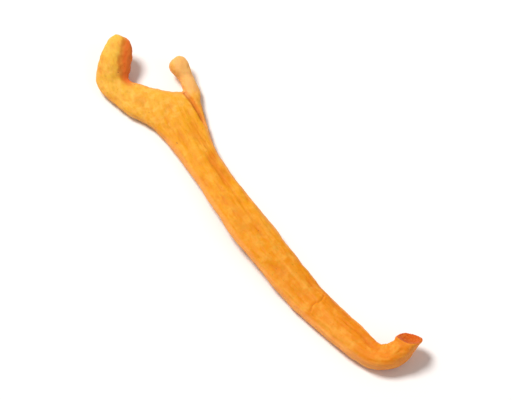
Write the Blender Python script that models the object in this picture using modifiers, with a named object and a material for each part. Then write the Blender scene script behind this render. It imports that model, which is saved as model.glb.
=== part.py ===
"""Dried cordyceps: one broad, flattened fruiting body, picked, dried and lying on a surface.

It grew as one piece. A short round stem, cut off at its foot, curls round and widens into a long
flat blade, where strands grew fused side by side. The blade flares at its head and ends in two
blunt lobes, a thick thumb and a slim finger, with a thin web between them.

+X runs along the blade towards the cut foot, +Z is up, and the piece lies on Z = 0.
Every size below is in millimetres and every angle in degrees.
"""
import math

import bmesh
import bpy
import numpy as np
from mathutils import Matrix, Vector

MM = 0.001
OBJECT_NAME = "dried_cordyceps"
BODY_NAME = "fruiting_body"

# The midline in plan: one slow bow along the blade, one tight hook at the foot, then the toe.
NECK = Vector((-17.0, 0.8))
NECK_HEADING = -14.2
BLADE_LENGTH = 43.0
BLADE_TURN = 23.0
HOOK_LENGTH = 5.4
HOOK_TURN = 95.0
TOE_LENGTH = 3.0
BLADE_STEPS = 12
HOOK_STEPS = 4

# How the section changes with the distance from the neck: (distance, value) pairs.
WIDTHS = ((0, 7.6), (5.5, 4.9), (10, 4.4), (20, 5.2), (30, 5.2), (39, 4.3), (45, 3.5), (50, 3.2))
THICKNESSES = ((0, 2.3), (10, 2.1), (30, 2.1), (39, 2.4), (45, 2.7), (50, 2.7))
EDGE_SHARES = ((0, 0.6), (36, 0.6), (44, 0.75), (50, 0.75))
UNDERSIDES = ((5, 0), (11, 0.6), (18, 1.0), (25, 0.7), (32, 0), (43, 0), (46, 0.3), (48, 1.1), (51, 3.4))

# The cage has four columns of points, given as shares of the width either side of the midline.
COLUMNS = (-0.5, -0.17, 0.17, 0.5)
LAST_COLUMN = len(COLUMNS) - 1

# Its rows count from the tips of the lobes to the foot.
WEB_ROW = 4
SHOULDER_ROW = 5
NECK_ROW = 6

# The head in plan, from the thumb's side to the finger's, and its thickness in those columns.
WEB = ((-26.4, -5.3), (-24.5, -1.4), (-18.4, 3.2), (-17.4, 5.4))
WEB_THICKNESSES = (1.8, 1.7, 1.7, 1.8)
SHOULDERS = ((-21.6, -4.7), (-20.4, -1.2), (-17.2, 2.1), (-16.2, 4.4))
SHOULDER_THICKNESSES = (1.7, 2.3, 2.3, 1.7)
HEAD_HEIGHT = 1.15

# The two lobes: root in plan, heading, turn and length, then the sizes from the root to the tip.
THUMB = {
    "root": Vector((-25.2, -3.4)),
    "heading": 143.0,
    "turn": -32.0,
    "length": 6.5,
    "widths": (4.9, 4.7, 4.3, 2.9),
    "thicknesses": (3.0, 3.2, 3.2, 2.4),
    "undersides": (0.3, 0.9, 1.6, 2.4),
}
FINGER = {
    "root": Vector((-17.9, 4.2)),
    "heading": 158.0,
    "turn": 22.0,
    "length": 5.4,
    "widths": (2.2, 1.9, 3.1, 2.6),
    "thicknesses": (2.2, 2.1, 2.8, 2.4),
    "undersides": (0.2, 0.5, 0.7, 0.9),
}
THUMB_COLUMN = 0
FINGER_COLUMN = 2

# The piece settles this deep into the surface, so that it rests on flats and not on points.
CONTACT_DEPTH = 0.12
BENCH_SIZE = Vector((90.0, 40.0, 6.0))

# One slanting cut took the foot off, facing back over the hook.
CUT_DISTANCE = 49.2
CUT_NORMAL = Vector((-0.38, 0.47, 0.79))
KNIFE_SIZE = Vector((6.0, 6.0, 5.0))

# The middle of the finished piece's box in plan, at the level of the surface.
ORIGIN = Vector((-0.11, 0.74, CONTACT_DEPTH))
SMOOTHING_LEVELS = 2
SKIN_COLOUR = (0.86, 0.34, 0.04, 1.0)
SKIN_ROUGHNESS = 0.65


def clear_scene():
    for item in list(bpy.data.objects):
        bpy.data.objects.remove(item, do_unlink=True)


def new_collection(name):
    collection = bpy.data.collections.new(name)
    bpy.context.scene.collection.children.link(collection)
    return collection


def skin_material():
    material = bpy.data.materials.new("dried_skin")
    material.use_nodes = True
    shader = material.node_tree.nodes["Principled BSDF"]
    shader.inputs["Base Color"].default_value = SKIN_COLOUR
    shader.inputs["Roughness"].default_value = SKIN_ROUGHNESS
    shader.inputs["Metallic"].default_value = 0.0
    return material


def along(profile, distance):
    """Value of a (distance, value) profile at a distance from the neck."""
    distances, values = zip(*profile)
    return float(np.interp(distance, distances, values))


def lifted(plan, height):
    return Vector((plan.x, plan.y, height))


def towards(heading):
    """Unit direction in plan."""
    angle = math.radians(heading)
    return Vector((math.cos(angle), math.sin(angle)))


def left_of(heading):
    """Unit direction in plan, square to a heading and on its left."""
    return towards(heading + 90)


def follow_arc(start, heading, turn, length, share):
    """Point and heading after a share of an arc that leaves a point and turns steadily."""
    radius = length / math.radians(turn)
    reached = heading + turn * share
    return start + radius * (left_of(heading) - left_of(reached)), reached


def midline(distance):
    """Point and heading of the midline at a distance from the neck."""
    on_blade = min(distance / BLADE_LENGTH, 1)
    point, heading = follow_arc(NECK, NECK_HEADING, BLADE_TURN, BLADE_LENGTH, on_blade)
    if distance > BLADE_LENGTH:
        on_hook = min((distance - BLADE_LENGTH) / HOOK_LENGTH, 1)
        point, heading = follow_arc(point, heading, HOOK_TURN, HOOK_LENGTH, on_hook)
    on_toe = max(distance - BLADE_LENGTH - HOOK_LENGTH, 0)
    return point + on_toe * towards(heading), heading


def section_middle(distance):
    """Middle of the section at a distance from the neck."""
    plan, _ = midline(distance)
    return lifted(plan, along(UNDERSIDES, distance) + along(THICKNESSES, distance) / 2)


def row_distances():
    """Distances from the neck of the cage's rows, from the neck to the end of the toe."""
    blade = [BLADE_LENGTH * step / BLADE_STEPS for step in range(BLADE_STEPS + 1)]
    hook = [BLADE_LENGTH + HOOK_LENGTH * step / HOOK_STEPS for step in range(1, HOOK_STEPS + 1)]
    return blade + hook + [BLADE_LENGTH + HOOK_LENGTH + TOE_LENGTH]


def blade_cage():
    """Cage of the blade, hook and toe, as {(row, column): (point, thickness)}."""
    cage = {}
    for step, distance in enumerate(row_distances()):
        heading = midline(distance)[1]
        across = lifted(left_of(heading) * along(WIDTHS, distance), 0)
        thickness = along(THICKNESSES, distance)
        edge_thickness = thickness * along(EDGE_SHARES, distance)
        for column, share in enumerate(COLUMNS):
            point = section_middle(distance) + across * share
            at_edge = column in (0, LAST_COLUMN)
            cage[NECK_ROW + step, column] = (point, edge_thickness if at_edge else thickness)
    return cage


def head_cage():
    """Cage along the web and across the shoulders."""
    cage = {}
    for column in range(LAST_COLUMN + 1):
        web_point = lifted(Vector(WEB[column]), HEAD_HEIGHT)
        cage[WEB_ROW, column] = (web_point, WEB_THICKNESSES[column])
        shoulder_point = lifted(Vector(SHOULDERS[column]), HEAD_HEIGHT)
        cage[SHOULDER_ROW, column] = (shoulder_point, SHOULDER_THICKNESSES[column])
    return cage


def lobe_cage(lobe, first_column):
    """Cage of a lobe, which stands on the two columns from first_column."""
    cage = {}
    for step in range(WEB_ROW):
        share = (step + 1) / WEB_ROW
        plan, heading = follow_arc(lobe["root"], lobe["heading"], lobe["turn"], lobe["length"], share)
        thickness = lobe["thicknesses"][step]
        middle = lifted(plan, lobe["undersides"][step] + thickness / 2)
        half_across = lifted(left_of(heading) * lobe["widths"][step] / 2, 0)
        row = WEB_ROW - 1 - step
        cage[row, first_column] = (middle + half_across, thickness)
        cage[row, first_column + 1] = (middle - half_across, thickness)
    return cage


def in_notch(face):
    """Whether a face of the flat grid lies between the two lobes."""
    middle = face.calc_center_median()
    return middle.x < WEB_ROW and THUMB_COLUMN + 1 < middle.y < FINGER_COLUMN


def build_body(cage, collection):
    """A grid pulled to the cage's points, thickened, then softened."""
    rows = max(row for row, _ in cage)
    sheet = bmesh.new()
    to_grid = Matrix.Translation((rows / 2, LAST_COLUMN / 2, 0))
    to_grid @= Matrix.Diagonal((rows, LAST_COLUMN, 1, 1))
    bmesh.ops.create_grid(sheet, x_segments=rows, y_segments=LAST_COLUMN, size=0.5, matrix=to_grid)
    bmesh.ops.delete(sheet, geom=[face for face in sheet.faces if in_notch(face)], context="FACES")

    thickest = max(thickness for _, thickness in cage.values())
    shares = []
    for vertex in sheet.verts:
        point, thickness = cage[round(vertex.co.x), round(vertex.co.y)]
        vertex.co = (point - ORIGIN) * MM
        shares.append(thickness / thickest)
    mesh = bpy.data.meshes.new(BODY_NAME)
    sheet.to_mesh(mesh)
    sheet.free()
    mesh.shade_smooth()
    mesh.materials.append(skin_material())

    body = bpy.data.objects.new(BODY_NAME, mesh)
    collection.objects.link(body)
    group = body.vertex_groups.new(name="thickness")
    for index, share in enumerate(shares):
        group.add([index], share, "REPLACE")

    flesh = body.modifiers.new("flesh", "SOLIDIFY")
    flesh.thickness = thickest * MM
    flesh.offset = 0
    flesh.vertex_group = group.name
    soften = body.modifiers.new("soften", "SUBSURF")
    soften.levels = SMOOTHING_LEVELS
    soften.render_levels = SMOOTHING_LEVELS
    return body


def cut_away(body, name, size, place, collection):
    """Take a block out of the body. The block is centred on its place and turned with it."""
    mesh = bpy.data.meshes.new(name)
    block = bmesh.new()
    bmesh.ops.create_cube(block, size=1, matrix=place @ Matrix.Diagonal((*size, 1)))
    block.to_mesh(mesh)
    block.free()
    cutter = bpy.data.objects.new(name, mesh)
    cutter.hide_render = True
    cutter.display_type = "WIRE"
    collection.objects.link(cutter)

    cut = body.modifiers.new(name, "BOOLEAN")
    cut.operation = "DIFFERENCE"
    cut.solver = "EXACT"
    cut.object = cutter


def main():
    clear_scene()
    parts = new_collection(OBJECT_NAME)
    cutters = new_collection("cutters")

    cage = blade_cage() | head_cage() | lobe_cage(THUMB, THUMB_COLUMN) | lobe_cage(FINGER, FINGER_COLUMN)
    body = build_body(cage, parts)

    bench_size = BENCH_SIZE * MM
    under_body = Matrix.Translation((0, 0, -bench_size.z / 2))
    cut_away(body, "bench", bench_size, under_body, cutters)

    knife_size = KNIFE_SIZE * MM
    normal = CUT_NORMAL.normalized()
    cut_point = (section_middle(CUT_DISTANCE) - ORIGIN) * MM
    above_cut = Matrix.Translation(cut_point + normal * knife_size.z / 2)
    turned = normal.to_track_quat("Z", "Y").to_matrix().to_4x4()
    cut_away(body, "knife", knife_size, above_cut @ turned, cutters)


main()
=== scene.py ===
# %% [markdown]
# # A dried cordyceps fruiting body
#
# Cordyceps is a club fungus that is grown for food and tea, and dried whole. This one is a broad
# piece: strands that grew side by side and fused into a long flat blade. A short round stem curls
# round at the foot, where it was cut, and the head flares into a thin web between two blunt lobes,
# a thick thumb and a slim finger.
#
# The measured part is loaded first. It fixes where the piece lies and how long it is, and every
# size below is scaled from its box.

import math

import bmesh
import bpy
import numpy as np
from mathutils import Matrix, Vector


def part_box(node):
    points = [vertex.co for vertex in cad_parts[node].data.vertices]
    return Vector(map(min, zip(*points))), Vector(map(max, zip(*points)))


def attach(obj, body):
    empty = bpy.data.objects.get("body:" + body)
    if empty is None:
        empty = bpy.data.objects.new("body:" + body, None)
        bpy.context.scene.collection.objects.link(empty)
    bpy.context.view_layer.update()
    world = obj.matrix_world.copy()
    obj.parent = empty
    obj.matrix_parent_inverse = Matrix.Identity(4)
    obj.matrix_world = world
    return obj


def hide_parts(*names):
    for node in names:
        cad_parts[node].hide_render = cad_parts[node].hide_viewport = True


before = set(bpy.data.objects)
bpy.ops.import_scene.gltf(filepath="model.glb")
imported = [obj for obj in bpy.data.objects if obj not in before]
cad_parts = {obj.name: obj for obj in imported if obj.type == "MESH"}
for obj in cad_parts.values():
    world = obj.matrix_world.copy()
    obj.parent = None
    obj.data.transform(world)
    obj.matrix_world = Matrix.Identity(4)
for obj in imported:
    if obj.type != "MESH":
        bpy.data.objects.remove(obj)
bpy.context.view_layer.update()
low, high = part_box("fruiting_body")
PART_LENGTH = 60.04
MM = (high.x - low.x) / PART_LENGTH
print("the part is", [round(side / MM, 2) for side in high - low], "mm")


# %% [markdown]
# ## The cage
#
# The piece could be sculpted from a lump, or carved from a block, but a dried fungus blade is
# simple at heart: one flat section that changes slowly from the neck to the foot. So it is
# extruded, station by station, from a small box at the neck. It is modelled straight, along +X
# from the neck, because a straight blade is easy to widen, cut and wrinkle. It is bent only
# when its skin is finished, and the wrinkles then follow the bend by themselves.
#
# All sizes are in millimetres. The height of a place is counted from the table.

# %% Sizes of the blade, by the distance from its neck
BLADE_LENGTH = 43.0
BLADE_STATIONS = 22
HOOK_STATIONS = (44.3, 45.6, 46.7, 47.7)
TOE_END = 51.4
SETTLED = 0.12
WIDTHS = ((0, 7.6), (5.5, 4.9), (10, 4.4), (20, 5.2), (30, 5.2), (39, 4.3), (45, 3.5), (50, 3.2))
THICKNESSES = ((0, 2.3), (10, 2.1), (30, 2.1), (39, 2.4), (45, 2.7))
UNDERSIDES = ((5, 0), (11, 0.6), (18, 1.0), (25, 0.7), (32, 0), (43, 0), (46, 0.3), (48, 1.1), (51, 3.4))
TILTS = ((45.6, 0), (46.7, 18), (47.7, 33), (51.4, 37))
THIN_EDGE = 0.6
MIDDLE_COLUMN = 0.34


def along(profile, distance):
    """Value of a (distance, value) profile at a distance from the neck."""
    distances, values = zip(*profile)
    return float(np.interp(distance, distances, values))


def middle_height(distance):
    return along(UNDERSIDES, distance) + along(THICKNESSES, distance) / 2 - SETTLED


print("the blade is widest at its neck,", along(WIDTHS, 0), "mm")


# %% [markdown]
# Edit-mode operators act on what is selected. These helpers select vertices by their place, and
# carry a selected ring to its next station. Places less than SAME_PLACE apart count as one.
# Without a window, a positive turn goes clockwise, so the helper turns it over.

# %% Helpers for edit mode
SAME_PLACE = 0.05


def choose(test):
    """Select the vertices whose place in millimetres passes a test, and what lies between them."""
    bpy.ops.mesh.select_all(action="DESELECT")
    cage = bmesh.from_edit_mesh(body.data)
    for vertex in cage.verts:
        vertex.select_set(bool(test(vertex.co / MM)))
    cage.select_flush(True)
    bmesh.update_edit_mesh(body.data)


def choose_columns(places):
    """Select the columns of cage points over some places in plan."""
    choose(lambda co: min((co.xy - Vector(place)).length for place in places) < SAME_PLACE)


def turn(degrees, axis, centre):
    bpy.ops.transform.rotate(value=-math.radians(degrees), orient_axis=axis, center_override=centre * MM)


def stretch(factors, centre):
    bpy.ops.transform.resize(value=factors, center_override=centre * MM)


def slide(place, to):
    """Move the column of cage points over a place in plan to another one."""
    choose_columns([place])
    bpy.ops.transform.translate(value=(Vector(to) - Vector(place)).to_3d() * MM)


def grow(step):
    """Extrude the selected faces by a step in millimetres."""
    bpy.ops.mesh.extrude_region_move(TRANSFORM_OT_translate={"value": step * MM})


# %% Start with a small box at the neck
first_station = BLADE_LENGTH / BLADE_STATIONS
neck_width = along(WIDTHS, 0)
neck_middle = Vector((0, 0, middle_height(0)))

bpy.ops.object.select_all(action="DESELECT")
bpy.ops.mesh.primitive_cube_add(size=1, location=(neck_middle + Vector((first_station / 2, 0, 0))) * MM)
body = bpy.context.object
body.name = body.data.name = "cordyceps_skin"
body.scale = Vector((first_station, neck_width, along(THICKNESSES, 0))) * MM
bpy.ops.object.transform_apply(location=True, rotation=True, scale=True)

bpy.ops.object.mode_set(mode="EDIT")
bpy.ops.mesh.select_mode(type="VERT")
for side in (-1, 1):
    bpy.ops.mesh.select_all(action="SELECT")
    cut_at = side * neck_width * MIDDLE_COLUMN / 2
    bpy.ops.mesh.bisect(plane_co=(0, cut_at * MM, 0), plane_no=(0, 1, 0))
choose(lambda co: abs(co.y) > neck_width / 2 - SAME_PLACE)
stretch((1, 1, THIN_EDGE), neck_middle)
choose(lambda co: co.x > first_station - SAME_PLACE)
stretch((1, along(WIDTHS, first_station) / neck_width, 1), neck_middle)
print("the box has", len(bmesh.from_edit_mesh(body.data).faces), "faces in three columns")


# %% Extrude the blade and the hook
stations = [first_station * count for count in range(1, BLADE_STATIONS + 1)]
stations += [*HOOK_STATIONS, TOE_END]
for here, there in zip(stations, stations[1:]):
    grow(Vector((there - here, 0, middle_height(there) - middle_height(here))))
    centre = Vector((there, 0, middle_height(there)))
    thicken = along(THICKNESSES, there) / along(THICKNESSES, here)
    stretch((1, along(WIDTHS, there) / along(WIDTHS, here), thicken), centre)
    turn(along(TILTS, here) - along(TILTS, there), "Y", centre)
print("extruded", len(stations), "stations to", round(stations[-1], 1), "mm from the neck")


# %% [markdown]
# The hook is rounder than the blade, because there the piece is a plain stem. Its thin outer
# edges are made thicker, ring by ring. A tilted ring reaches further along the blade than an
# upright one, so its points are looked for over a longer stretch.

# %% Round the hook
ROUND_FROM = 40.0
ROUND_EDGE = 1.25
RING_REACH = 0.2
TILTED_REACH = 2.0
for station in stations:
    if station > ROUND_FROM:
        reach = RING_REACH + TILTED_REACH * math.sin(math.radians(along(TILTS, station)))
        half = along(WIDTHS, station) / 2
        choose(lambda co: abs(co.x - station) < reach and abs(co.y) > half - SAME_PLACE)
        stretch((ROUND_EDGE, 1, ROUND_EDGE), Vector((station, 0, middle_height(station))))
print("rounded the rings past", ROUND_FROM, "mm")


# %% [markdown]
# ## The head
#
# Towards the head the three columns fan out, first to the shoulders and then to the web. Each
# column of points slides to its own place in plan. A lobe then grows out of the web's end face
# on its side, along an arc, and gets a blunt tip.

# %% Fan out the shoulders and the web
SHOULDERS = ((-3.1, -6.5), (-2.8, -2.8), (-0.5, 1.2), (-0.1, 3.7))
WEB = ((-7.6, -8.2), (-6.7, -4.0), (-1.95, 2.0), (-1.5, 4.35))
WEB_THICKENING = (1.25, 0.78, 0.78, 1.25)
SHOULDER_STEP = 1.7
WEB_STEP = 3.6
neck_half = neck_width / 2
neck_inner = neck_half * MIDDLE_COLUMN
columns = [(0.0, side) for side in (-neck_half, -neck_inner, neck_inner, neck_half)]

for row, step in ((SHOULDERS, SHOULDER_STEP), (WEB, WEB_STEP)):
    choose_columns(columns)
    grow(Vector((-step, 0, 0)))
    for place, to in zip(columns, row):
        slide((place[0] - step, place[1]), to)
    columns = list(row)
for place, factor in zip(WEB, WEB_THICKENING):
    choose_columns([place])
    stretch((1, 1, factor), Vector((0, 0, neck_middle.z)))
print("the web is", round((Vector(WEB[0]) - Vector(WEB[3])).length, 1), "mm across")


# %% Grow the two lobes
WEB_END_THICKNESS = 1.75
LOBE_STEPS = 4
THUMB = {
    "root": Vector((-6.9, -6.1)),
    "heading": 157.2,
    "turn": -32.0,
    "length": 6.5,
    "widths": (4.9, 4.7, 4.3, 2.9),
    "thicknesses": (3.0, 3.2, 3.2, 2.4),
    "undersides": (0.3, 0.9, 1.6, 2.4),
}
FINGER = {
    "root": Vector((-1.7, 3.1)),
    "heading": 172.2,
    "turn": 22.0,
    "length": 5.4,
    "widths": (2.2, 1.9, 3.1, 2.6),
    "thicknesses": (2.2, 2.1, 2.8, 2.4),
    "undersides": (0.2, 0.5, 0.7, 0.9),
}


def towards(heading):
    """Unit direction in plan."""
    return Vector((math.cos(math.radians(heading)), math.sin(math.radians(heading))))


def on_arc(start, heading, bend, length, share):
    """Point and heading after a share of an arc that leaves a point and bends steadily."""
    radius = length / math.radians(bend)
    reached = heading + bend * share
    return start + radius * (towards(heading + 90) - towards(reached + 90)), reached


def ring_size(places):
    """Middle, width and heading of the end face over two places in plan."""
    right, left = (Vector(place) for place in places)
    across = left - right
    return (right + left) / 2, across.length, math.degrees(math.atan2(across.y, across.x)) + 90


def grow_lobe(lobe, places):
    """Extrude the end face over two places along the lobe's arc."""
    choose_columns(places)
    middle, width, heading = ring_size(places)
    middle = middle.to_3d() + Vector((0, 0, neck_middle.z))
    thickness = WEB_END_THICKNESS
    for step in range(LOBE_STEPS):
        share = (step + 1) / LOBE_STEPS
        plan, new_heading = on_arc(lobe["root"], lobe["heading"], lobe["turn"], lobe["length"], share)
        new_thickness = lobe["thicknesses"][step]
        new_middle = plan.to_3d()
        new_middle.z = lobe["undersides"][step] + new_thickness / 2 - SETTLED
        grow(new_middle - middle)
        wider = lobe["widths"][step] / width
        stretch((wider, wider, new_thickness / thickness), new_middle)
        turn(new_heading - heading, "Z", new_middle)
        middle, heading = new_middle, new_heading
        width, thickness = lobe["widths"][step], new_thickness
    print("a lobe ends at", [round(number, 1) for number in middle], "mm")


grow_lobe(THUMB, WEB[:2])
grow_lobe(FINGER, WEB[2:])


# %% [markdown]
# ## The cut foot
#
# A knife took the foot off in one slanting cut, so the toe is bisected by a plane and the far
# side thrown away. The rim stays crisp because its edges are creased, and a small inset leaves
# a band of skin between the rim and the flesh.

# %% Cut the toe
CUT_AT = 49.2
CUT_FACING = Vector((0.55, 0.258, 0.794)).normalized()
CUT_MERGE = 0.01
ON_THE_CUT = 0.02
RIM_CREASE = 0.9
RIM_BAND = 0.3
cut_middle = Vector((CUT_AT, 0, middle_height(CUT_AT)))

bpy.ops.mesh.select_all(action="SELECT")
bpy.ops.mesh.bisect(
    plane_co=cut_middle * MM,
    plane_no=CUT_FACING,
    clear_outer=True,
    use_fill=True,
    threshold=CUT_MERGE * MM,
)
choose(lambda co: abs((co - cut_middle).dot(CUT_FACING)) < ON_THE_CUT)
bpy.ops.transform.edge_crease(value=RIM_CREASE)
bpy.ops.mesh.inset(thickness=RIM_BAND * MM)
bpy.ops.mesh.select_all(action="SELECT")
bpy.ops.mesh.normals_make_consistent(inside=False)
bpy.ops.object.mode_set(mode="OBJECT")
print("the cage has", len(body.data.polygons), "faces")


# %% [markdown]
# ## From cage to skin
#
# Subdivision rounds the cage into the soft shape that drying leaves. Its faces are then long and
# thin along the blade, and a fine wrinkle would come out ragged on them. A voxel remesh gives
# small, even faces everywhere, and a light smoothing takes its steps away.

# %% Subdivide, remesh and smooth
ROUNDING_LEVELS = 3
GRAIN = 0.125


def apply_modifier(name, kind, **settings):
    """Add a modifier, set it up, and apply it."""
    modifier = body.modifiers.new(name, kind)
    for setting, value in settings.items():
        setattr(modifier, setting, value)
    bpy.ops.object.modifier_apply(modifier=name)


apply_modifier("rounding", "SUBSURF", levels=ROUNDING_LEVELS, render_levels=ROUNDING_LEVELS)
apply_modifier("even_faces", "REMESH", mode="VOXEL", voxel_size=GRAIN * MM, use_smooth_shade=True)
apply_modifier("no_steps", "SMOOTH", factor=0.5, iterations=4)
print("the skin has", len(body.data.vertices), "vertices")


# %% [markdown]
# A knife leaves a clean rim, but the small even faces follow it in steps. A second smoothing,
# held to a narrow band by a vertex group, evens the rim out. The band is found from the plane of
# the cut, and only near the toe, because the plane goes on past the rest of the piece.

# %% Even out the rim of the cut
TOE_REACH = 4.0
RIM_SMOOTHING = 8


def places_and_facings():
    """Every vertex's place in millimetres, and the way it faces."""
    count = len(body.data.vertices)
    places = np.empty(count * 3, dtype=np.float32)
    facings = np.empty(count * 3, dtype=np.float32)
    body.data.vertices.foreach_get("co", places)
    body.data.vertex_normals.foreach_get("vector", facings)
    return places.reshape(-1, 3) / MM, facings.reshape(-1, 3)


def from_the_cut(places):
    """Height of every place above the cut's plane, and its distance from the cut's middle."""
    offsets = places - np.array(cut_middle)
    return offsets @ np.array(CUT_FACING), np.linalg.norm(offsets, axis=1)


above_cut, from_cut_middle = from_the_cut(places_and_facings()[0])
near_rim = (above_cut > -RIM_BAND) & (from_cut_middle < TOE_REACH)
rim_group = body.vertex_groups.new(name="rim")
rim_group.add(np.nonzero(near_rim)[0].tolist(), 1.0, "REPLACE")
apply_modifier("even_rim", "SMOOTH", factor=0.5, iterations=RIM_SMOOTHING, vertex_group="rim")
body.vertex_groups.clear()

smooth_places, smooth_facings = places_and_facings()
along_blade, across_blade, _ = smooth_places.T
print("the rim's band has", int(near_rim.sum()), "vertices")


# %% [markdown]
# ## What drying did to it
#
# Fresh, the piece was plump and smooth. As it dried the flesh shrank, and the skin puckered into
# long furrows between the fused strands, fine lines along the grain, soft lumps, small lumps and
# wrinkles on the head, and short cross wrinkles inside the hook. They could be sculpted one by
# one. Here each kind is one Displace modifier: its texture is measured against an empty, scaled
# to the size of one feature, and a painted vertex group says where it acts. So each kind stays
# one readable line.

# %% Helpers for relief
def paint(name, weights):
    """Make a vertex group from one weight for each vertex."""
    group = body.vertex_groups.new(name=name)
    for index in np.nonzero(weights > 0.002)[0]:
        group.add([int(index)], min(float(weights[index]), 1.0), "REPLACE")
    return name


def press(name, height_mm, mask):
    """Raise or sink the painted skin by a height."""
    apply_modifier(name, "DISPLACE", strength=height_mm * MM, mid_level=0.0, vertex_group=mask)


def pucker(name, feature, height_mm, mask, depth):
    """Raise and sink the skin by cloudy noise. A feature's size is along, across and up, in mm."""
    texture = bpy.data.textures.new(name, "CLOUDS")
    texture.noise_scale = 1.0
    texture.noise_depth = depth
    ruler = bpy.data.objects.new(name, None)
    ruler.scale = Vector(feature) * MM
    bpy.context.collection.objects.link(ruler)
    bpy.context.view_layer.update()
    apply_modifier(
        name, "DISPLACE", texture=texture, texture_coords="OBJECT", texture_coords_object=ruler,
        strength=height_mm * MM, mid_level=0.5, vertex_group=mask,
    )
    bpy.data.objects.remove(ruler)


def bell(distance, width):
    return np.exp(-((distance / width) ** 2))


def ramp(values, start, end):
    """0 at the start, 1 at the end, and smooth between them."""
    share = np.clip((values - start) / (end - start), 0, 1)
    return share * share * (3 - 2 * share)


def from_path(path):
    """Distance in plan of every vertex from a path of points."""
    plan = smooth_places[:, :2]
    nearest = np.full(len(plan), 1e9)
    for start, end in zip(np.array(path[:-1]), np.array(path[1:])):
        run = end - start
        share = np.clip(((plan - start) @ run) / (run @ run), 0, 1)
        nearest = np.minimum(nearest, np.linalg.norm(plan - start - share[:, None] * run, axis=1))
    return nearest


# %% [markdown]
# The knife's cut stays clean, so the puckers fade out towards its rim.

# %% Find the cut face and its rim
above_cut, from_cut_middle = from_the_cut(smooth_places)
square_to_cut = smooth_facings @ np.array(CUT_FACING)
cut_face = ramp(above_cut, -0.25, -0.08) * ramp(square_to_cut, 0.80, 0.95)
from_rim = np.where(from_cut_middle > TOE_REACH, TOE_REACH, np.maximum(-above_cut, 0))
print("the cut face has", int((cut_face > 0.5).sum()), "vertices")


# %% Pucker the skin
HOOK_MIDDLE = 45.8
HOOK_REACH = 2.4
off_the_rim = ramp(from_rim, 0.15, 1.0)
on_blade = ramp(along_blade, -3, 3) * off_the_rim
on_head = 1 - ramp(along_blade, -2, 4)
sideways = ramp(1 - np.abs(smooth_facings[:, 2]), 0.2, 0.9) * off_the_rim
inside_hook = bell(along_blade - HOOK_MIDDLE, HOOK_REACH) * ramp(across_blade, -0.6, 1.2)

whole_mask = paint("whole", off_the_rim)
blade_mask = paint("blade", on_blade)
head_mask = paint("head", on_head)
side_mask = paint("sides", sideways)
hook_mask = paint("inside_hook", inside_hook)

pucker("fused_strands", (15, 1.6, 6), 0.40, blade_mask, depth=1)
pucker("soft_lumps", (3.4, 2.6, 2.6), 0.34, whole_mask, depth=2)
pucker("wandering_edges", (5.0, 5.0, 5.0), 0.30, side_mask, depth=1)
pucker("long_wrinkles", (6.0, 0.85, 1.2), 0.18, blade_mask, depth=2)
pucker("fine_wrinkles", (2.6, 0.42, 0.42), 0.21, blade_mask, depth=2)
pucker("head_lumps", (1.9, 1.6, 1.6), 0.20, head_mask, depth=1)
pucker("cross_wrinkles", (0.55, 3.0, 3.0), 0.22, hook_mask, depth=2)
pucker("head_wrinkles", (1.1, 0.48, 0.48), 0.15, head_mask, depth=2)
pucker("fine_grain", (0.36, 0.30, 0.30), 0.035, whole_mask, depth=1)
print("puckered the skin over", len(body.vertex_groups), "painted areas")


# %% [markdown]
# Four marks are this piece's own. A shallow groove runs up the thumb's inner flank. A crease runs
# from the root of the finger along the blade's edge, where the finger's stem lies half behind
# it. A short crack crosses the blade near its foot in two strokes, with one lip raised. The
# knife left the cut face a little hollow, with the ends of the fibres standing up in it.
#
# The first three follow short paths in plan, and fade to each side of them over a width.

# %% Find the four marks
CREASE = ((-2.3, 2.1), (-0.6, 2.45), (1.0, 2.6), (3.0, 2.75), (5.0, 2.75))
CREASE_WIDTH = 0.28
CRACK = (((33.95, -1.4), (33.55, -0.8), (33.5, -0.1)), ((33.75, 0.0), (33.75, 0.7), (33.4, 1.4)))
CRACK_WIDTH = 0.13
LIP_WIDTH = 0.20
LIP_AHEAD = 0.30
FLANK = ((-7.1, -4.3), (-8.6, -3.9), (-10.0, -3.0), (-11.2, -1.9))
FLANK_WIDTH = 0.55


def moved(path, ahead, across=0.0):
    """A path in plan, moved along and across the blade."""
    return [(x + ahead, y + across) for x, y in path]


lip_strokes = [moved(stroke, LIP_AHEAD) for stroke in CRACK]
on_top = ramp(smooth_facings[:, 2], 0.2, 0.7)
crease = bell(from_path(CREASE), CREASE_WIDTH) * on_top * (1 - ramp(along_blade, 2.5, 5.5))
crack = bell(np.minimum(*(from_path(stroke) for stroke in CRACK)), CRACK_WIDTH) * on_top
crack_lip = bell(np.minimum(*(from_path(stroke) for stroke in lip_strokes)), LIP_WIDTH) * on_top
flank = bell(from_path(FLANK), FLANK_WIDTH) * on_top
cut_hollow = cut_face * (1 - ramp(from_cut_middle, 0.2, 1.8))
inner_cut = cut_face * (1 - ramp(from_cut_middle, 1.0, 1.6))
print("the crack is", round(float(np.ptp(across_blade[crack > 0.5])), 1), "mm long")


# %% Press them in
press("crease", -0.42, paint("crease", crease))
press("flank", -0.26, paint("flank", flank))
press("crack", -0.12, paint("crack", crack))
press("crack_lip", 0.06, paint("crack_lip", crack_lip))
press("cut_hollow", -0.45, paint("cut_hollow", cut_hollow))
pucker("cut_fibres", (0.6, 0.4, 0.6), 0.12, paint("inner_cut", inner_cut), depth=1)
print("pressed and raised", len(body.vertex_groups), "painted areas in all")
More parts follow.
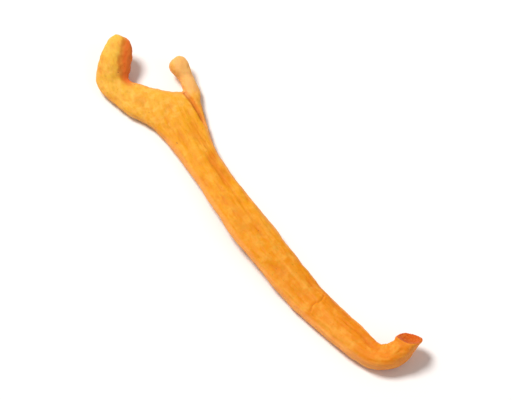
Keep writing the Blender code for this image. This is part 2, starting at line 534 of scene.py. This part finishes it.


# %% [markdown]
# The skin's colours will follow the same story, so the mesh keeps what they need as attributes:
# the straight place of every point (the grain follows it round the bends), how far the relief
# stands out (painted shade goes into the furrows and a painted highlight onto the raised skin),
# how much the skin faces sideways (a painted highlight), and where the cut, the cracks and the
# crease (painted shade), the thin edges (a painted highlight) and the finger are. Painted shade
# runs along the thumb's groove and flank, with a painted pink highlight near its tip.

# %% Find the coloured places
WEB_EDGE = ((-6.6, -3.6), (-4.4, -1.2), (-2.2, 1.6))
WEB_EDGE_WIDTH = 0.55
# Painted shade down the thumb's flank beside its groove, the side that turns away from the light.
FLANK_SHADE_PATH = moved(FLANK, 0.25, 0.65)
FLANK_SHADE_WIDTH = 0.95
# A painted pink highlight near the thumb's tip.
PINK_HIGHLIGHT_SPOT = ((-10.9, -1.1), (-11.5, -1.5))
PINK_HIGHLIGHT_WIDTH = 0.7
# How strong the painted shade in the crack and in the crease is.
CRACK_DARKNESS = 0.62
CREASE_DARKNESS = 0.6

distances, widths = zip(*WIDTHS)
# Painted highlight along the blade's thin side edges and along the web's top edge.
out_from_middle = np.abs(across_blade) / np.interp(along_blade, distances, widths) * 2
blade_edge = ramp(out_from_middle, 0.72, 0.94) * ramp(along_blade, 1, 4) * (1 - ramp(along_blade, 42, 46))
edge_highlight = np.maximum(blade_edge, bell(from_path(WEB_EDGE), WEB_EDGE_WIDTH))
# Painted shade in the crack and in the crease at the finger's root.
crack_and_crease_shade = np.maximum(crack * CRACK_DARKNESS, crease * CREASE_DARKNESS)
flank_shade = bell(from_path(FLANK_SHADE_PATH), FLANK_SHADE_WIDTH)
pink_highlight = bell(from_path(PINK_HIGHLIGHT_SPOT), PINK_HIGHLIGHT_WIDTH)
on_finger = ramp(across_blade, 1.6, 2.6) * (1 - ramp(along_blade, -2.2, -0.8))
print("the thin edges take", round(float(edge_highlight.mean()) * 100), "% of the skin")


# %% Keep what the colours need
def keep(name, values, kind="FLOAT", field="value"):
    attribute = body.data.attributes.new(name, kind, "POINT")
    attribute.data.foreach_set(field, np.ascontiguousarray(values, dtype=np.float32).ravel())


RELIEF_SPAN = 0.35
body.vertex_groups.clear()
worn_places, _ = places_and_facings()
stands_out = ((worn_places - smooth_places) * smooth_facings).sum(axis=1)
keep("straight_place", smooth_places, "FLOAT_VECTOR", "vector")
keep("relief", stands_out / RELIEF_SPAN + 0.5)
keep("sideways", 1 - np.abs(smooth_facings[:, 2]))
keep("cut_face", cut_face)
# The thin edges carry a painted highlight.
keep("edge", edge_highlight)
# The crack and the crease carry painted shade.
keep("crack", crack_and_crease_shade)
# The thumb's flank carries painted shade.
keep("flank", flank_shade)
# The pink spot near the thumb's tip is a painted highlight.
keep("pink_highlight", pink_highlight)
keep("finger", on_finger)
print("the relief stands", round(float(stands_out.min()), 2), "to", round(float(stands_out.max()), 2), "mm")


# %% [markdown]
# ## Bending it into its bow and hook
#
# A Curve modifier bends the straight piece along a guide: a straight run for the head, one slow
# bow for the blade, a tight hook, and a straight end for the toe. The neck's place comes from the
# measured part's box. What would sink under the table is then pressed flat onto it, and those
# are the two flats that the piece rests on.

# %% Draw the guide and bend the piece
NECK_FROM_LOBES = 13.13
NECK_FROM_SIDE = 5.78
NECK_HEADING = -14.2
HEAD_RUN = 18.0
BLADE_TURN = 23.0
HOOK_LENGTH = 5.4
HOOK_TURN = 95.0
TOE_RUN = 4.0
GUIDE_RUNS = ((HEAD_RUN, 0), (BLADE_LENGTH, BLADE_TURN), (HOOK_LENGTH, HOOK_TURN), (TOE_RUN, 0))
GUIDE_STEP = 0.1


def guide_points():
    """Points along the guide, a small step apart."""
    neck = Vector((low.x, low.y)) / MM + Vector((NECK_FROM_LOBES, NECK_FROM_SIDE))
    point, heading = neck - towards(NECK_HEADING) * HEAD_RUN, NECK_HEADING
    points = [point]
    for length, bend in GUIDE_RUNS:
        steps = round(length / GUIDE_STEP)
        for _ in range(steps):
            point = point + towards(heading + bend / steps / 2) * length / steps
            heading += bend / steps
            points.append(point)
    return points


points = guide_points()
guide_curve = bpy.data.curves.new("guide", "CURVE")
guide_curve.dimensions = "2D"
spline = guide_curve.splines.new("POLY")
spline.points.add(len(points) - 1)
for spot, point in zip(spline.points, points):
    spot.co = (*(point * MM), 0, 1)
guide = bpy.data.objects.new("guide", guide_curve)
bpy.context.collection.objects.link(guide)

body.location.x = HEAD_RUN * MM
bpy.ops.object.transform_apply(location=True, rotation=True, scale=True)
apply_modifier("bow_and_hook", "CURVE", object=guide, deform_axis="POS_X")
bpy.data.objects.remove(guide)

bpy.ops.object.mode_set(mode="EDIT")
choose(lambda co: co.z < 0)
bpy.ops.transform.resize(value=(1, 1, 0), center_override=(0, 0, 0))
bpy.ops.object.mode_set(mode="OBJECT")
skin_low = Vector(body.bound_box[0])
skin_high = Vector(body.bound_box[6])
print("bent; the skin's box is", [round(side / MM, 2) for side in skin_high - skin_low], "mm")

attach(body, "root")
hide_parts("fruiting_body")


# %% [markdown]
# ## The dried skin
#
# The skin is matt and a little waxy, so light sinks into it and its shadows glow red-orange. It
# is yellowest at the head and deepens towards the foot. Over that lie pale mottles, streaks
# along the grain and a few dark specks, and painted light and shade: painted highlights on the
# raised skin, on the sides and along the thin edges, painted shade in the furrows, the crack and
# the crease, painted shade down the thumb's flank, and a painted pink highlight near its tip. A
# painted image could hold all this, but noise on the straight place of each point needs no image
# and has no seams.

# %% Helpers for the material
skin = bpy.data.materials.new("dried_skin")
skin.use_nodes = True
tree = skin.node_tree
shader = tree.nodes["Principled BSDF"]


def pigment(red, green, blue):
    """A colour from its screen levels, 0 to 255, as the linear values that a shader wants."""
    levels = [level / 255 for level in (red, green, blue)]
    linear = [level / 12.92 if level <= 0.04045 else ((level + 0.055) / 1.055) ** 2.4 for level in levels]
    return (*linear, 1)


def add(kind, inputs=(), **settings):
    """A node with its settings, and a value or a link for each named or numbered input."""
    node = tree.nodes.new(kind)
    for setting, value in settings.items():
        setattr(node, setting, value)
    for name, value in dict(inputs).items():
        if isinstance(value, bpy.types.NodeSocket):
            tree.links.new(value, node.inputs[name])
        else:
            node.inputs[name].default_value = value
    return node


def kept(name):
    """The value that the mesh keeps under a name."""
    return add("ShaderNodeAttribute", attribute_name=name)


def noise_on(place, scale, detail=3.0, roughness=0.55):
    """Noise over places in millimetres, with so many features to the millimetre."""
    inputs = {"Vector": place, "Scale": scale, "Detail": detail, "Roughness": roughness}
    return add("ShaderNodeTexNoise", inputs).outputs["Fac"]


def between(value, low_in, high_in, low_out=0.0, high_out=1.0):
    """Map a value from one span to another, and keep it inside."""
    inputs = {"Value": value, 1: low_in, 2: high_in, 3: low_out, 4: high_out}
    return add("ShaderNodeMapRange", inputs).outputs["Result"]


def blend(share, under, over):
    """Lay one colour over another by a share."""
    return add("ShaderNodeMix", {0: share, 6: under, 7: over}, data_type="RGBA").outputs[2]


# %% Places for the patterns
ALONG_THE_GRAIN = (0.16, 1.0, 1.0)
place = kept("straight_place").outputs["Vector"]
stretched = add("ShaderNodeMapping", {"Vector": place, "Scale": ALONG_THE_GRAIN}).outputs["Vector"]
relief = kept("relief").outputs["Fac"]
sideways_share = kept("sideways").outputs["Fac"]
from_neck = add("ShaderNodeSeparateXYZ", {"Vector": place}).outputs["X"]
print("the patterns start from", len(tree.nodes), "nodes")

# %% Mix the pigments
LENGTH_SPAN = (-11, 50)
LENGTH_COLOURS = (
    (0.00, (242, 190, 68)),
    (0.20, (236, 163, 28)),
    (0.45, (234, 153, 12)),
    (0.75, (232, 139, 8)),
    (1.00, (232, 134, 10)),
)
# This pale colour is the skin's own mottling, and also a painted highlight on the raised skin.
PALE_MOTTLE_AND_HIGHLIGHT = pigment(248, 190, 82)
DEEP = pigment(222, 124, 6)
# This furrow colour is painted shade in the sunk furrows.
FURROW_SHADE = pigment(212, 92, 10)
# This rim colour is a painted highlight on the sides and along the thin edges.
RIM_HIGHLIGHT = pigment(248, 166, 86)
# This dark colour is painted shade in the crack and the crease.
LINE_SHADE = pigment(150, 56, 8)
SPECK = pigment(120, 56, 14)
PEACH = pigment(252, 190, 116)
# This red colour is painted shade on the thumb's flank.
FLANK_SHADE_COLOUR = pigment(216, 86, 22)
OLIVE = pigment(204, 146, 30)
# This pink is a painted highlight near the thumb's tip.
HIGHLIGHT_PINK = pigment(240, 130, 88)
print("the piece takes", len(LENGTH_COLOURS), "colours from head to foot")

# %% Lay the colours over each other
length_ramp = add("ShaderNodeValToRGB", {"Fac": between(from_neck, *LENGTH_SPAN)})
stops = length_ramp.color_ramp.elements
for _ in LENGTH_COLOURS[2:]:
    stops.new(0.5)
for stop, (share, levels) in zip(stops, LENGTH_COLOURS):
    stop.position = share
    stop.color = pigment(*levels)
colour = length_ramp.outputs["Color"]

mottle = noise_on(place, 0.75, 5, 0.62)
colour = blend(between(mottle, 0.46, 0.68, 0, 0.50), colour, PALE_MOTTLE_AND_HIGHLIGHT)
near_head = between(from_neck, 8, 0)
head_patches = add("ShaderNodeMath", {0: near_head, 1: noise_on(place, 1.05, 3)}, operation="MULTIPLY")
colour = blend(between(head_patches.outputs[0], 0.46, 0.60, 0, 0.75), colour, PALE_MOTTLE_AND_HIGHLIGHT)
colour = blend(between(noise_on(place, 0.42, 4), 0.50, 0.72, 0, 0.45), colour, DEEP)
colour = blend(between(noise_on(stretched, 2.2, 4), 0.50, 0.72, 0, 0.28), colour, DEEP)
colour = blend(between(noise_on(place, 0.95, 4, 0.6), 0.52, 0.70, 0, 0.40), colour, OLIVE)
# Painted shade in the sunk furrows and a painted highlight on the raised skin, both taken from the relief.
colour = blend(between(relief, 0.40, 0.0, 0, 0.45), colour, FURROW_SHADE)
colour = blend(between(relief, 0.62, 1.0, 0, 0.30), colour, PALE_MOTTLE_AND_HIGHLIGHT)
# Painted highlight on the skin that faces sideways and along the thin edges.
colour = blend(between(sideways_share, 0.10, 0.6, 0, 0.45), colour, RIM_HIGHLIGHT)
colour = blend(between(kept("edge").outputs["Fac"], 0.1, 0.9, 0, 0.65), colour, RIM_HIGHLIGHT)
colour = blend(between(kept("finger").outputs["Fac"], 0.0, 1.0, 0, 0.75), colour, PEACH)
# Painted shade down the thumb's flank.
colour = blend(between(kept("flank").outputs["Fac"], 0.15, 0.9, 0, 0.75), colour, FLANK_SHADE_COLOUR)
# Painted pink highlight near the thumb's tip.
colour = blend(between(kept("pink_highlight").outputs["Fac"], 0.2, 0.8, 0, 0.7), colour, HIGHLIGHT_PINK)
colour = blend(between(noise_on(place, 3.4, 2), 0.70, 0.76, 0, 0.55), colour, SPECK)
# Painted shade in the crack and in the finger's crease.
colour = blend(between(kept("crack").outputs["Fac"], 0.35, 0.95, 0, 0.85), colour, LINE_SHADE)
print("the colours take", len(tree.nodes), "nodes")

# %% The cut flesh
CUT_FLESH = pigment(204, 88, 6)
CUT_FIBRE = pigment(218, 112, 22)
CUT_RIM = pigment(206, 100, 48)
cut_share = kept("cut_face").outputs["Fac"]
flesh = blend(between(noise_on(place, 4.5, 3), 0.45, 0.65), CUT_FLESH, CUT_FIBRE)
rim_line = between(cut_share, 0.02, 0.35)
colour = blend(rim_line, colour, CUT_RIM)
colour = blend(between(cut_share, 0.45, 0.95), colour, flesh)
tree.links.new(colour, shader.inputs["Base Color"])
print("with the cut flesh,", len(tree.nodes), "nodes")

# %% Gloss, waxiness and grain
tree.links.new(between(mottle, 0.3, 0.7, 0.50, 0.68), shader.inputs["Roughness"])
shader.inputs["Specular IOR Level"].default_value = 0.18
shader.inputs["Subsurface Weight"].default_value = 0.25
shader.inputs["Subsurface Radius"].default_value = (1.0, 0.36, 0.10)
shader.inputs["Subsurface Scale"].default_value = 0.7 * MM
grain = add("ShaderNodeMath", {0: noise_on(place, 5.0, 4), 1: noise_on(stretched, 9.0, 3)}, operation="ADD")
bump = add("ShaderNodeBump", {"Height": grain.outputs[0], "Strength": 0.45, "Distance": 0.06 * MM})
tree.links.new(bump.outputs["Normal"], shader.inputs["Normal"])
body.data.materials.clear()
body.data.materials.append(skin)
print("the skin has", len(tree.nodes), "nodes")


# %% [markdown]
# ## The table, the light and the camera
#
# The piece lies on a plain white table under soft light: a key lamp high behind it and to the
# left, a weak wide fill on the right, and a pale warm sky that lightens the shadows. The camera
# looks down on it through a long lens, which keeps its proportions true.

# %% Lay the table
TABLE_SIZE = 1.2
TABLE_WHITE = (0.93, 0.925, 0.92, 1)
TABLE_ROUGHNESS = 0.6
bpy.ops.mesh.primitive_plane_add(size=TABLE_SIZE, location=(0, 0, 0))
table = bpy.context.object
table.name = "table"
white = bpy.data.materials.new("table_white")
white.use_nodes = True
white_shader = white.node_tree.nodes["Principled BSDF"]
white_shader.inputs["Base Color"].default_value = TABLE_WHITE
white_shader.inputs["Roughness"].default_value = TABLE_ROUGHNESS
table.data.materials.append(white)
print("the table is", TABLE_SIZE, "m square")

# %% Place the camera
VIEW_TURN = 51.9
VIEW_RISE = 62.0
LENS = 600
SENSOR = 36
VIEW_WIDTH = 66.0


def aim(thing, target):
    thing.rotation_euler = (target - thing.location).to_track_quat("-Z", "Y").to_euler()


rise = math.radians(VIEW_RISE)
side = math.radians(VIEW_TURN)
to_camera = Vector((math.sin(side) * math.cos(rise), -math.cos(side) * math.cos(rise), math.sin(rise)))
middle = (low + high) / 2
camera_data = bpy.data.cameras.new("camera")
camera_data.lens = LENS
camera_data.sensor_width = SENSOR
camera_data.clip_start = 0.01
camera = bpy.data.objects.new("camera", camera_data)
bpy.context.collection.objects.link(camera)
camera.location = middle + to_camera * VIEW_WIDTH * MM * LENS / SENSOR
aim(camera, middle)
bpy.context.scene.camera = camera
print("the camera stands", round((camera.location - middle).length, 3), "m away")

# %% Hang the lights
LAMP_DISTANCE = 1.4
SKY_COLOUR = (1, 0.89, 0.85, 1)
SKY_STRENGTH = 0.36


def soft_light(name, towards_light, size, power, tint):
    data = bpy.data.lights.new(name, "AREA")
    data.shape = "DISK"
    data.size = size
    data.energy = power
    data.color = tint
    lamp = bpy.data.objects.new(name, data)
    bpy.context.collection.objects.link(lamp)
    lamp.location = middle + towards_light.normalized() * LAMP_DISTANCE
    aim(lamp, middle)


view_right = Vector((math.cos(side), math.sin(side), 0))
view_up = to_camera.cross(view_right)
towards_key = 0.7 * to_camera - 0.45 * view_right + 0.75 * view_up
towards_fill = to_camera + 0.9 * view_right - 0.1 * view_up
soft_light("key", towards_key, size=0.5, power=17.5, tint=(1, 1, 0.985))
soft_light("fill", towards_fill, size=1.0, power=2.2, tint=(1, 0.95, 0.93))
world = bpy.data.worlds.new("pale_sky")
world.use_nodes = True
sky = world.node_tree.nodes["Background"]
sky.inputs["Color"].default_value = SKY_COLOUR
sky.inputs["Strength"].default_value = SKY_STRENGTH
bpy.context.scene.world = world
bpy.context.scene.view_settings.view_transform = "Standard"
print("hung", len(bpy.data.lights), "lamps")
